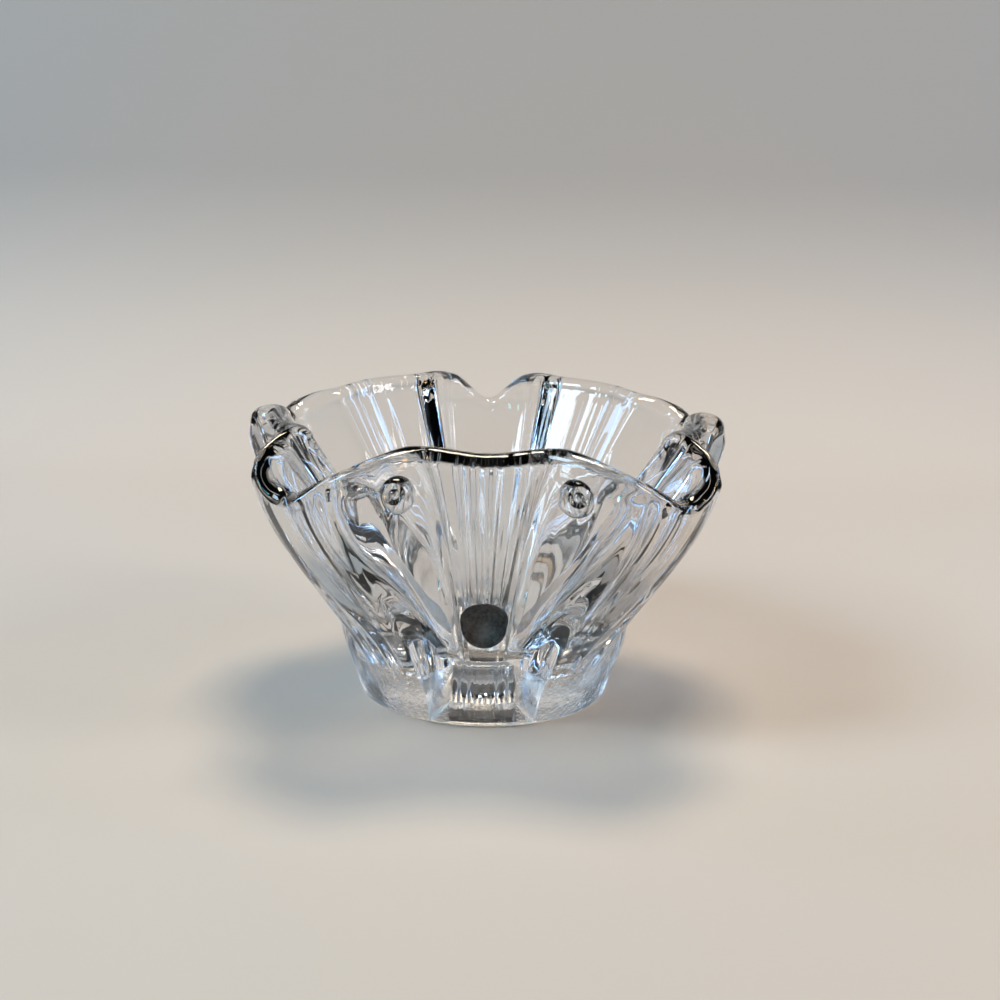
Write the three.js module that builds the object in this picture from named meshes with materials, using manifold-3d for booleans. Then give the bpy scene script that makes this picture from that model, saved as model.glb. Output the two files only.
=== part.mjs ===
// A heavy hand-pulled crystal bowl: five open lips, five upright panels, a thick round rim and a solid foot.
// Millimetres, +Z up. The origin is the middle of the underside, and the front panel faces -Y.
import * as THREE from "three";
import { mergeVertices } from "three/addons/utils/BufferGeometryUtils.js";
import Module from "manifold-3d";

// Height of the rim in the middle of the front panel, and how far other places are above or below it
const PANEL_HEIGHT = 132;
const SIDE_PANEL_RISE = 0.5;
const BACK_PANEL_RISE = 2;
const FRONT_CORNER_RISE = 2.5; // where the front panel turns into a lip
const SIDE_CORNER_RISE = 2;
const REAR_CORNER_DROP = 1;
const BACK_CORNER_RISE = 2.5;
const FRONT_LIP_DROP = 19.5;
const SIDE_LIP_DROP = 12;
const BACK_LIP_DROP = 14.5;
const BACK_SHOULDER_DROP = 1.5; // half-way between the back lip and its corners

// Heights above the table
const FLOOR_HEIGHT = 20; // the glass under the hollow
const FLOOR_ROUNDING = 14; // height over which the hollow's floor turns up
const BLOCK_HEIGHT = 16; // the foot is a round block up to here
const FLUTE_HEIGHT = 85; // the flutes under the side panels are full from here
const RECESS_HEIGHT = 25; // roof of the front recess
const LEDGE_HEIGHT = 1.2; // height over which the front panel steps out above the recess
const FOOT_THICKNESS = 1.6; // disc left under the front recess
const FOOT_FILLET = 1;

// Radii from the bowl's axis to the outside of the glass
const FOOT_RADIUS = 58.5;
const RECESS_RADIUS = 40; // the face at the back of the front recess
const PANEL_RADIUS = 103.5; // at the rim
const FRONT_LIP_REACH = 128;
const SIDE_LIP_REACH = 112;
const BACK_LIP_REACH = 127;

// Wall, measured along the radius
const RIM_WALL = 10.6;
const RIM_CREST = 5.4; // height of the rim's half-round top
const LIP_ROOT_WALL = 40; // what the wall under a lip grows to at the table
const PANEL_ROOT_WALL = 27;

// Azimuths in degrees from the front, the same on both sides
const SPACING = 72;
const HALF_LIP = 18; // a lip and a panel take equal shares of the spacing
const RECESS_EDGE = 2; // half the angle over which the recess gives way to the block beside it
const FRONT_LIP_AZIMUTH = 43;
const SIDE_LIP_AZIMUTH = 106;
const FRONT_CORNER_AZIMUTH = 55.5; // the far corner of the front lip
const SIDE_CORNER_AZIMUTH = 87;
const REAR_CORNER_AZIMUTH = 126;
const OUTER_HALF_WIDTH = 17.3; // middle of the outer flank, from a lip's centre line
const OUTER_FLANK = 6.8; // half the angle that the outer flank takes
const RECESS_HALF_WIDTH = 13.5; // the same two angles for the steep side of the recess
const RECESS_FLANK = 1.5;
const INNER_HALF_WIDTH = 13.9;
const INNER_FLANK = 4.7;
const FLANK_FILLET = 0.28; // share of a flank that is rounded at each end

// Outlines: how the radius grows with height
const LIP_STRAIGHTNESS = 0.5; // 0 is a full S, 1 is a straight line
const LIP_CURL = 0.45; // share of the overhang that a lip's upper corners lose
const PANEL_FLARE = 1.25; // exponent
const PULL_START = 25; // the lips lean sideways between these heights
const PULL_END = 105;

// Round bosses on the shoulders of the front panel: balls that are mostly sunk in the glass
const BOSS_AZIMUTH = 19.5;
const BOSS_HEIGHT = 116.5;
const BOSS_RADIUS = 8.2;
const BOSS_SINK = 5; // how far a ball's centre is inside the skin, along the radius
const BOSS_TILT = 14; // degrees by which a boss looks up
const DIMPLE_RADIUS = 9; // the ball that hollows the face of a boss
const DIMPLE_FORWARD = 14.8; // from the boss's centre, along its tilted axis
const PUPIL_RADIUS = 2.4; // the small ball in the middle of a dimple
const PUPIL_FORWARD = 5;

// Round ground mark low on the front panel: a ball's cap that another ball has hollowed
const MARK_HEIGHT = 44;
const MARK_RADIUS = 10.8;
const MARK_SINK = 4.7; // the cap's centre is this far inside the skin
const CUTTER_RADIUS = 13;
const CUTTER_REACH = 6.9; // the hollowing ball's centre is this far in front of the skin

// Felt pad in the ground hollow of the underside
const PAD_RADIUS = 11;
const PAD_THICKNESS = 1.5;
const PAD_EDGE = 0.3;
const PAD_CLEARANCE = 0.3;

// Steps
const COLUMNS = 120;
const BLOCK_ROWS = 3;
const OUTER_ROWS = 15;
const RIM_ROWS = 5;
const INNER_ROWS = 9;
const FLOOR_ROWS = 3;
const BALL_STEPS = 24;

const HOLLOW_RADIUS = PAD_RADIUS + PAD_CLEARANCE;
const HOLLOW_DEPTH = PAD_THICKNESS + PAD_CLEARANCE;
const FRONT_EDGE = HALF_LIP; // azimuth of the front panel's edge
const FULL_TURN = 360;

// Height, outer reach and pulled azimuth of the rim at each regular azimuth, from the front to the back
const [frontLip, sideLip, backLip] = [0, 1, 2].map((order) => HALF_LIP * 2 + SPACING * order);
const frontCornerHeight = PANEL_HEIGHT + FRONT_CORNER_RISE;
const sideCornerHeight = PANEL_HEIGHT + SIDE_CORNER_RISE;
const frontLipHeight = PANEL_HEIGHT - FRONT_LIP_DROP;
const backLipHeight = PANEL_HEIGHT - BACK_LIP_DROP;
const rimHeights = [
  [0, PANEL_HEIGHT],
  [FRONT_EDGE, frontCornerHeight],
  [frontLip, frontLipHeight],
  [frontLip + HALF_LIP, sideCornerHeight],
  [frontLip + SPACING / 2, PANEL_HEIGHT + SIDE_PANEL_RISE],
  [sideLip - HALF_LIP, sideCornerHeight],
  [sideLip, PANEL_HEIGHT - SIDE_LIP_DROP],
  [sideLip + HALF_LIP, PANEL_HEIGHT - REAR_CORNER_DROP],
  [sideLip + SPACING / 2, PANEL_HEIGHT + BACK_PANEL_RISE],
  [backLip - HALF_LIP, PANEL_HEIGHT + BACK_CORNER_RISE],
  [backLip - HALF_LIP / 2, PANEL_HEIGHT - BACK_SHOULDER_DROP],
  [backLip, backLipHeight],
];
const lipReaches = [
  [frontLip, FRONT_LIP_REACH],
  [sideLip, SIDE_LIP_REACH],
  [backLip, BACK_LIP_REACH],
];
const pulledAzimuths = [
  [0, 0],
  [FRONT_EDGE, FRONT_EDGE],
  [FRONT_LIP_AZIMUTH, frontLip],
  [FRONT_CORNER_AZIMUTH, frontLip + HALF_LIP],
  [SIDE_CORNER_AZIMUTH, sideLip - HALF_LIP],
  [SIDE_LIP_AZIMUTH, sideLip],
  [REAR_CORNER_AZIMUTH, sideLip + HALF_LIP],
  [backLip - HALF_LIP, backLip - HALF_LIP],
  [backLip, backLip],
];

const clamp = THREE.MathUtils.clamp;
const mix = THREE.MathUtils.lerp;
const ease = (x, from, to) => THREE.MathUtils.smoothstep(x, from, to);

// A smooth curve through points that never swings past them. Level ends suit a shape mirrored there.
function curveThrough(points, levelEnds) {
  const steps = points.slice(1).map(([x, y], i) => [x - points[i][0], y - points[i][1]]);
  const slopes = steps.map(([dx, dy]) => dy / dx);
  const tangents = points.map((_, i) => {
    if (i === 0 || i === points.length - 1) return levelEnds ? 0 : slopes[Math.min(i, slopes.length - 1)];
    const [before, after] = [slopes[i - 1], slopes[i]];
    if (before * after <= 0) return 0;
    const [left, right] = [steps[i - 1][0], steps[i][0]];
    const [w1, w2] = [2 * right + left, right + 2 * left];
    return (w1 + w2) / (w1 / before + w2 / after);
  });
  return (x) => {
    const found = points.findIndex(([edge]) => edge > x);
    const i = clamp(found < 0 ? steps.length - 1 : found - 1, 0, steps.length - 1);
    const [dx, dy] = steps[i];
    const t = clamp((x - points[i][0]) / dx, 0, 1);
    const bend = t * (1 - t) * dx * ((1 - t) * tangents[i] - t * tangents[i + 1]);
    return points[i][1] + dy * ease(t, 0, 1) + bend;
  };
}
const rimHeightAt = curveThrough(rimHeights, true);
const lipReachAt = curveThrough(lipReaches, true);
const regularAt = curveThrough(pulledAzimuths, false);

// Degrees from the front, 0 to 180, on either side
function fromFront(azimuth) {
  return Math.min(azimuth, FULL_TURN - azimuth);
}

// The regular azimuth that a point of the pulled bowl came from. The foot isn't pulled.
function regularAzimuth(azimuth, height) {
  const plain = fromFront(azimuth);
  return mix(plain, regularAt(plain), ease(height, PULL_START, PULL_END));
}

// 1 in the middle of a lip, 0 on a panel, with a straight flank and rounded corners between them
function lipShare(regular, halfWidth, flank) {
  const away = Math.min(...lipReaches.map(([lip]) => Math.abs(regular - lip)));
  const t = clamp((away - halfWidth + flank) / (2 * flank), 0, 1);
  const round = 2 * FLANK_FILLET * (1 - FLANK_FILLET);
  if (t < FLANK_FILLET) return 1 - (t * t) / round;
  if (t > 1 - FLANK_FILLET) return ((1 - t) * (1 - t)) / round;
  return 1 - (t - FLANK_FILLET / 2) / (1 - FLANK_FILLET);
}

// Outside of the glass on a lip's centre line: an S from the foot out to the lip, curling back in above it
function lipRadius(regular, height) {
  const reach = lipReachAt(regular);
  const t = clamp(height / backLipHeight, 0, 1);
  const over = clamp((height - frontLipHeight) / (frontCornerHeight - frontLipHeight), 0, 1);
  const curl = LIP_CURL * (reach - PANEL_RADIUS) * over ** 2;
  return mix(FOOT_RADIUS, reach, mix(ease(t, 0, 1), t, LIP_STRAIGHTNESS)) - curl;
}

// Outside of the glass on a panel's centre line: upright behind the recess, then flaring
function panelRadius(height) {
  const t = Math.max(0, (height - BLOCK_HEIGHT) / (PANEL_HEIGHT - BLOCK_HEIGHT));
  return mix(RECESS_RADIUS, PANEL_RADIUS, t ** PANEL_FLARE);
}

function outerRadius(azimuth, height) {
  const regular = regularAzimuth(azimuth, height);
  const lip = lipRadius(regular, height);
  const besideRecess = ease(fromFront(azimuth), frontLip - RECESS_EDGE, frontLip + RECESS_EDGE);
  const block = (1 - ease(height, BLOCK_HEIGHT, FLUTE_HEIGHT)) * besideRecess;
  const ledge = clamp((height - RECESS_HEIGHT + LEDGE_HEIGHT) / LEDGE_HEIGHT, 0, 1);
  const panel = mix(mix(RECESS_RADIUS, panelRadius(height), ledge), lip, block);
  const halfWidth = mix(RECESS_HALF_WIDTH, OUTER_HALF_WIDTH, ledge);
  const flank = mix(RECESS_FLANK, OUTER_FLANK, ledge);
  return mix(panel, lip, lipShare(regular, halfWidth, flank));
}

function innerRadius(azimuth, height) {
  const regular = regularAzimuth(azimuth, height);
  const depth = Math.max(0, 1 - height / PANEL_HEIGHT) ** 2;
  const lip = lipRadius(regular, height) - mix(RIM_WALL, LIP_ROOT_WALL, depth);
  const panel = panelRadius(height) - mix(RIM_WALL, PANEL_ROOT_WALL, depth);
  return mix(panel, lip, lipShare(regular, INNER_HALF_WIDTH, INNER_FLANK));
}

// Where the walls end and the rim's half-round top begins
function shoulderHeight(azimuth) {
  return rimHeightAt(regularAzimuth(azimuth, PANEL_HEIGHT)) - RIM_CREST;
}

// Each ring gives the skin's radius and height at an azimuth, from the underside over the rim to the floor
const circle = (radius, height) => () => [radius, height];
const range = (count) => Array.from({ length: count }, (_, i) => i);

function blockRing(share) {
  const height = mix(FOOT_THICKNESS * 2, RECESS_HEIGHT - LEDGE_HEIGHT, share);
  return (azimuth) => [outerRadius(azimuth, height), height];
}

function outerRing(share) {
  return (azimuth) => {
    const height = mix(RECESS_HEIGHT, shoulderHeight(azimuth), share);
    return [outerRadius(azimuth, height), height];
  };
}

function rimRing(angle) {
  return (azimuth) => {
    const height = shoulderHeight(azimuth);
    const outside = outerRadius(azimuth, height);
    const half = (outside - innerRadius(azimuth, height)) / 2;
    return [outside - half + half * Math.cos(angle), height + RIM_CREST * Math.sin(angle)];
  };
}

function innerRing(share) {
  return (azimuth) => {
    const height = mix(shoulderHeight(azimuth), FLOOR_HEIGHT + FLOOR_ROUNDING, share);
    return [innerRadius(azimuth, height), height];
  };
}

function floorRing(angle) {
  return (azimuth) => {
    const side = innerRadius(azimuth, FLOOR_HEIGHT + FLOOR_ROUNDING);
    return [side * Math.cos(angle), FLOOR_HEIGHT + FLOOR_ROUNDING * (1 - Math.sin(angle))];
  };
}

const bowlRings = [
  circle(HOLLOW_RADIUS, HOLLOW_DEPTH),
  circle(HOLLOW_RADIUS, 0),
  circle(FOOT_RADIUS - FOOT_FILLET, 0),
  circle(FOOT_RADIUS, FOOT_FILLET),
  circle(FOOT_RADIUS, FOOT_THICKNESS),
  ...range(BLOCK_ROWS).map((i) => blockRing(i / (BLOCK_ROWS - 1))),
  ...range(OUTER_ROWS).map((i) => outerRing(i / (OUTER_ROWS - 1))),
  ...range(RIM_ROWS).map((i) => rimRing((Math.PI * (i + 1)) / (RIM_ROWS + 1))),
  ...range(INNER_ROWS).map((i) => innerRing(i / (INNER_ROWS - 1))),
  ...range(FLOOR_ROWS).map((i) => floorRing((Math.PI / 2) * ((i + 1) / (FLOOR_ROWS + 1)))),
];

// A closed skin over the rings, with a point on the axis at each end
function skinOver(rings, firstHeight, lastHeight) {
  const points = [0, 0, firstHeight];
  for (const ring of rings) {
    for (const column of range(COLUMNS)) {
      const azimuth = (FULL_TURN * column) / COLUMNS;
      const [radius, height] = ring(azimuth);
      const turn = THREE.MathUtils.degToRad(azimuth);
      points.push(radius * Math.sin(turn), -radius * Math.cos(turn), height);
    }
  }
  points.push(0, 0, lastHeight);
  const corner = (row, column) => 1 + row * COLUMNS + (column % COLUMNS);
  const last = 1 + rings.length * COLUMNS;
  const faces = [];
  for (const column of range(COLUMNS)) {
    faces.push(0, corner(0, column + 1), corner(0, column));
    faces.push(last, corner(rings.length - 1, column), corner(rings.length - 1, column + 1));
    for (const row of range(rings.length - 1)) {
      const [a, b] = [corner(row, column), corner(row, column + 1)];
      const [c, d] = [corner(row + 1, column + 1), corner(row + 1, column)];
      faces.push(a, b, c, a, c, d);
    }
  }
  const geometry = new THREE.BufferGeometry();
  geometry.setAttribute("position", new THREE.Float32BufferAttribute(points, 3));
  geometry.setIndex(faces);
  return geometry;
}

// A ball whose centre is some way in front of the skin, or inside it where that is negative. It may then move
// to the front along the tilted axis of the bosses.
function ballAt(azimuth, height, radius, reach, forward = 0) {
  const turn = THREE.MathUtils.degToRad(azimuth);
  const tilt = THREE.MathUtils.degToRad(BOSS_TILT);
  const out = outerRadius(fromFront(azimuth), height) + reach;
  const ball = new THREE.SphereGeometry(radius, BALL_STEPS, BALL_STEPS / 2);
  ball.translate(out * Math.sin(turn), -out * Math.cos(turn), height);
  ball.translate(0, -forward * Math.cos(tilt), forward * Math.sin(tilt));
  return ball;
}

function onBosses(radius, forward) {
  const sides = [BOSS_AZIMUTH, FULL_TURN - BOSS_AZIMUTH];
  return sides.map((side) => ballAt(side, BOSS_HEIGHT, radius, -BOSS_SINK, forward));
}

const wasm = await Module();
wasm.setup();

function toSolid(geometry) {
  geometry.deleteAttribute("normal");
  geometry.deleteAttribute("uv");
  const merged = mergeVertices(geometry);
  const vertProperties = new Float32Array(merged.attributes.position.array);
  const triVerts = new Uint32Array(merged.index.array);
  return new wasm.Manifold(new wasm.Mesh({ numProp: 3, vertProperties, triVerts }));
}

const join = (solid, ball) => solid.add(toSolid(ball));
const cut = (solid, ball) => solid.subtract(toSolid(ball));

function toGeometry(solid) {
  const { vertProperties, triVerts } = solid.getMesh();
  const geometry = new THREE.BufferGeometry();
  geometry.setAttribute("position", new THREE.Float32BufferAttribute(vertProperties, 3));
  geometry.setIndex(Array.from(triVerts));
  geometry.computeVertexNormals();
  return geometry;
}

function makeBowl() {
  const crystal = new THREE.MeshStandardMaterial({ color: 0xdfe5ea, roughness: 0.02, metalness: 0 });
  const skin = toSolid(skinOver(bowlRings, HOLLOW_DEPTH, FLOOR_HEIGHT));
  const mark = ballAt(0, MARK_HEIGHT, MARK_RADIUS, -MARK_SINK);
  const markHollow = ballAt(0, MARK_HEIGHT, CUTTER_RADIUS, CUTTER_REACH);
  const capped = [...onBosses(BOSS_RADIUS, 0), mark].reduce(join, skin);
  const hollowed = [...onBosses(DIMPLE_RADIUS, DIMPLE_FORWARD), markHollow].reduce(cut, capped);
  const glass = onBosses(PUPIL_RADIUS, PUPIL_FORWARD).reduce(join, hollowed);
  const bowl = new THREE.Mesh(toGeometry(glass), crystal);
  bowl.name = "crystal_bowl";
  return bowl;
}

function makePad() {
  const felt = new THREE.MeshStandardMaterial({ color: 0x58595d, roughness: 0.95, metalness: 0 });
  const outline = [
    [0, 0],
    [PAD_RADIUS - PAD_EDGE, 0],
    [PAD_RADIUS, PAD_EDGE],
    [PAD_RADIUS, PAD_THICKNESS],
    [0, PAD_THICKNESS],
  ].map(([x, y]) => new THREE.Vector2(x, y));
  const pad = new THREE.Mesh(new THREE.LatheGeometry(outline, COLUMNS / 2), felt);
  pad.name = "felt_pad";
  pad.rotation.x = Math.PI / 2;
  return pad;
}

const bowl = new THREE.Group();
bowl.add(makeBowl(), makePad());
export default bowl;
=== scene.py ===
"""Looks of a heavy hand-pulled crystal bowl in a plain studio. Metres, +Z up, front panel facing -Y."""

import logging
import math
from dataclasses import dataclass, field, fields
from enum import Enum

import bpy
from mathutils import Matrix, Vector


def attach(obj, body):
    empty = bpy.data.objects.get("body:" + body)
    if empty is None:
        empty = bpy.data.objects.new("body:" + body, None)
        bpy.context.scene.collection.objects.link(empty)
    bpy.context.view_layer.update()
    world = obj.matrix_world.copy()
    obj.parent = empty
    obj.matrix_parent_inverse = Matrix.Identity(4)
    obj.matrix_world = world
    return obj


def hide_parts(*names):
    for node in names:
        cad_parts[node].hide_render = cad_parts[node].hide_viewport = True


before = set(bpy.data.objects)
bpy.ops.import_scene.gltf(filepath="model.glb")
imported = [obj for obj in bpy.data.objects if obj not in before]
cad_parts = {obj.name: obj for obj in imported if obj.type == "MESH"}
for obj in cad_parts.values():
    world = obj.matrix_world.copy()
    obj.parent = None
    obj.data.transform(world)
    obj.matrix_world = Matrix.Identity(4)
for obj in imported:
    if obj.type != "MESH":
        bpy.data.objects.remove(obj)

LOG = logging.getLogger("crystal_bowl")
ROOT_BODY = "root"
MM = 0.001
HALF_TURN = 180.0
Number = float | int
Tree = bpy.types.NodeTree
Socket = bpy.types.NodeSocket


class Operation(Enum):
    """The sums that a Math node can do."""

    ADD = "ADD"
    SUBTRACT = "SUBTRACT"
    MULTIPLY = "MULTIPLY"
    DIVIDE = "DIVIDE"
    POWER = "POWER"
    MINIMUM = "MINIMUM"
    MAXIMUM = "MAXIMUM"
    SINE = "SINE"
    COSINE = "COSINE"
    ABSOLUTE = "ABSOLUTE"
    ROUND = "ROUND"
    RADIANS = "RADIANS"
    ABOVE = "GREATER_THAN"


@dataclass(frozen=True)
class Curve:
    """A smooth curve through points that never swings past them and holds its end values."""

    points: tuple[tuple[float, float], ...]
    level_ends: bool = True

    def tangents(self) -> list[float]:
        """Works out the slope at each point.

        Returns:
            Harmonic means of the neighbouring slopes, and 0 where the curve turns back.
        """
        pairs = zip(self.points, self.points[1:])
        steps = [(right[0] - left[0], right[1] - left[1]) for left, right in pairs]
        slopes = [rise / run for run, rise in steps]
        found = [0.0 if self.level_ends else slopes[0]]
        for i in range(1, len(slopes)):
            before, after = slopes[i - 1], slopes[i]
            left, right = steps[i - 1][0], steps[i][0]
            weights = (2 * right + left, right + 2 * left)
            turns = before * after <= 0
            found.append(0.0 if turns else sum(weights) / (weights[0] / before + weights[1] / after))
        found.append(0.0 if self.level_ends else slopes[-1])
        return found


class Term:
    """A value that a node tree works out for each point, written as ordinary arithmetic."""

    def __init__(self, tree: Tree, socket: Socket) -> None:
        """Wraps an output socket of a tree."""
        self.tree = tree
        self.socket = socket

    def apply(self, operation: Operation, *others: "Term | Number", first: bool = True) -> "Term":
        """Puts this term through a Math node.

        Args:
            operation: What the node does.
            others: The other operands.
            first: Whether this term is the first operand.

        Returns:
            The node's value.
        """
        node = self.tree.nodes.new("ShaderNodeMath")
        node.operation = operation.value
        operands = [self, *others] if first else [*others, self]
        for place, operand in zip(node.inputs, operands):
            plug(self.tree, operand, place)
        return Term(self.tree, node.outputs[0])

    def __add__(self, other: "Term | Number") -> "Term":
        """Sum."""
        return self.apply(Operation.ADD, other)

    __radd__ = __add__

    def __mul__(self, other: "Term | Number") -> "Term":
        """Product."""
        return self.apply(Operation.MULTIPLY, other)

    __rmul__ = __mul__

    def __sub__(self, other: "Term | Number") -> "Term":
        """Difference."""
        return self.apply(Operation.SUBTRACT, other)

    def __rsub__(self, other: "Term | Number") -> "Term":
        """Difference, with this term taken away."""
        return self.apply(Operation.SUBTRACT, other, first=False)

    def __truediv__(self, other: "Term | Number") -> "Term":
        """Quotient."""
        return self.apply(Operation.DIVIDE, other)

    def __pow__(self, other: "Term | Number") -> "Term":
        """Power."""
        return self.apply(Operation.POWER, other)

    def ramp(self, low: "Term | Number", high: "Term | Number", smooth: bool = False) -> "Term":
        """Maps a range onto 0 to 1 and holds it there.

        Args:
            low: Where the result is 0.
            high: Where the result is 1.
            smooth: Whether the ramp has level ends.

        Returns:
            The mapped value.
        """
        node = self.tree.nodes.new("ShaderNodeMapRange")
        node.interpolation_type = "SMOOTHSTEP" if smooth else "LINEAR"
        for name, value in (("Value", self), ("From Min", low), ("From Max", high)):
            plug(self.tree, value, node.inputs[name])
        return Term(self.tree, node.outputs["Result"])

    def blend(self, other: "Term", share: "Term | Number") -> "Term":
        """Goes from this term to another as the share goes from 0 to 1."""
        return self + (other - self) * share

    def noise(self, *others: "Term | Number", detail: float = 1.0) -> "Term":
        """Reads smooth noise, from 0 to 1, at this term and up to two others."""
        join = self.tree.nodes.new("ShaderNodeCombineXYZ")
        for operand, place in zip((self, *others), join.inputs):
            plug(self.tree, operand, place)
        node = self.tree.nodes.new("ShaderNodeTexNoise")
        node.inputs["Scale"].default_value = 1.0
        node.inputs["Detail"].default_value = detail
        self.tree.links.new(join.outputs[0], node.inputs["Vector"])
        return Term(self.tree, node.outputs[0])

    def along(self, curve: Curve) -> "Term":
        """Reads a curve at this term's value.

        Args:
            curve: The curve. Each of its segments adds a smooth step and a bend.

        Returns:
            The curve's value.
        """
        total = None
        slopes = curve.tangents()
        for i, ((x, y), (next_x, next_y)) in enumerate(zip(curve.points, curve.points[1:])):
            run = next_x - x
            part = self.ramp(x, next_x, smooth=True) * (next_y - y)
            part = part + (y if total is None else total)
            if slopes[i] or slopes[i + 1]:
                share = self.ramp(x, next_x)
                bend = run * slopes[i] - share * (run * (slopes[i] + slopes[i + 1]))
                part = part + share * (1 - share) * bend
            total = part
        return total


def plug(tree: Tree, value: Term | Number, place: Socket) -> None:
    """Feeds a term or a plain number into an input socket."""
    if isinstance(value, Term):
        tree.links.new(value.socket, place)
    else:
        place.default_value = value


@dataclass(frozen=True)
class BowlForm:
    """Sizes of the bowl, in metres and degrees from the front, as its solid has them."""

    foot_radius: float = 58.5 * MM
    recess_radius: float = 40 * MM
    panel_radius: float = 103.5 * MM
    block_height: float = 16 * MM
    flute_height: float = 85 * MM
    recess_height: float = 25 * MM
    ledge_height: float = 1.2 * MM
    foot_thickness: float = 1.6 * MM
    foot_fillet: float = 1 * MM
    floor_height: float = 20 * MM
    floor_rounding: float = 14 * MM
    lip_height: float = 112.5 * MM
    crest_height: float = 117.5 * MM
    panel_height: float = 132 * MM
    corner_height: float = 134.5 * MM
    rim_wall: float = 10.6 * MM
    rim_crest: float = 5.4 * MM
    lip_root_wall: float = 40 * MM
    panel_root_wall: float = 27 * MM
    outer_half_width: float = 17.3
    outer_flank: float = 6.8
    recess_half_width: float = 13.5
    recess_flank: float = 1.5
    inner_half_width: float = 13.9
    inner_flank: float = 4.7
    flank_fillet: float = 0.28
    lip_straightness: float = 0.5
    lip_curl: float = 0.45
    lip_clearance: float = 0.15 * MM
    panel_flare: float = 1.25
    pull_start: float = 25 * MM
    pull_end: float = 105 * MM
    spacing: float = 72.0
    half_lip: float = 18.0
    boss_azimuth: float = 19.5
    boss_height: float = 116.5 * MM
    boss_radius: float = 8.2 * MM
    boss_reach: float = 109.4 * MM
    boss_tilt: float = 14.0
    dimple_radius: float = 9 * MM
    dimple_forward: float = 14.8 * MM
    pupil_radius: float = 2.4 * MM
    pupil_forward: float = 5.0 * MM
    hollow_radius: float = 11.3 * MM
    hollow_depth: float = 1.8 * MM
    hollow_band: float = 0.3 * MM
    flow_depth: float = 0.8 * MM
    flow_count: float = 13.0
    flow_stretch: float = 6.0
    calm_edge: float = 10.0
    recess_edge: float = 2.0
    fan_depth: float = 1.1 * MM
    fan_fineness: float = 2.0
    fan_start: float = 60 * MM
    rib_depth: float = 1.0 * MM
    rib_spacing: float = 4.5
    rib_calm: float = 6.0
    rib_top: float = 50 * MM
    recess_rib_depth: float = 0.9 * MM
    recess_rib_spacing: float = 7.2
    mark_height: float = 44 * MM
    mark_radius: float = 10.8 * MM
    mark_reach: float = 46.0 * MM
    cutter_radius: float = 13 * MM
    cutter_reach: float = 57.6 * MM


RIM_HEIGHTS = Curve((
    (0, 132 * MM), (18, 134.5 * MM), (36, 112.5 * MM), (54, 134 * MM), (72, 132.5 * MM),
    (90, 134 * MM), (108, 120 * MM), (126, 131 * MM), (144, 134 * MM), (162, 134.5 * MM),
    (171, 130.5 * MM), (180, 117.5 * MM),
))
LIP_REACHES = Curve(((36, 128 * MM), (108, 112 * MM), (180, 127 * MM)))
PULLED = Curve(
    ((0, 0), (18, 18), (43, 36), (55.5, 54), (87, 90), (106, 108), (126, 126), (162, 162), (180, 180)),
    level_ends=False,
)


class Section(Enum):
    """Stretches of the skin from the underside over the rim to the floor, as shares of its rows."""

    HOLLOW_ROOF = (0.0, 0.01)
    HOLLOW_SIDE = (0.01, 0.02)
    UNDERSIDE = (0.02, 0.04)
    FILLET = (0.04, 0.06)
    FOOT_EDGE = (0.06, 0.065)
    RECESS = (0.065, 0.07)
    BLOCK = (0.07, 0.14)
    LEDGE = (0.14, 0.155)
    OUTSIDE = (0.155, 0.49)
    RIM = (0.49, 0.61)
    INSIDE = (0.61, 0.88)
    FLOOR = (0.88, 1.0)


class FurrowSet(Enum):
    """The sets of furrows in the glass, each with a place of its own in the noise."""

    OUTSIDE = 0.0
    INSIDE = 17.0
    FAN = 31.0


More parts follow.
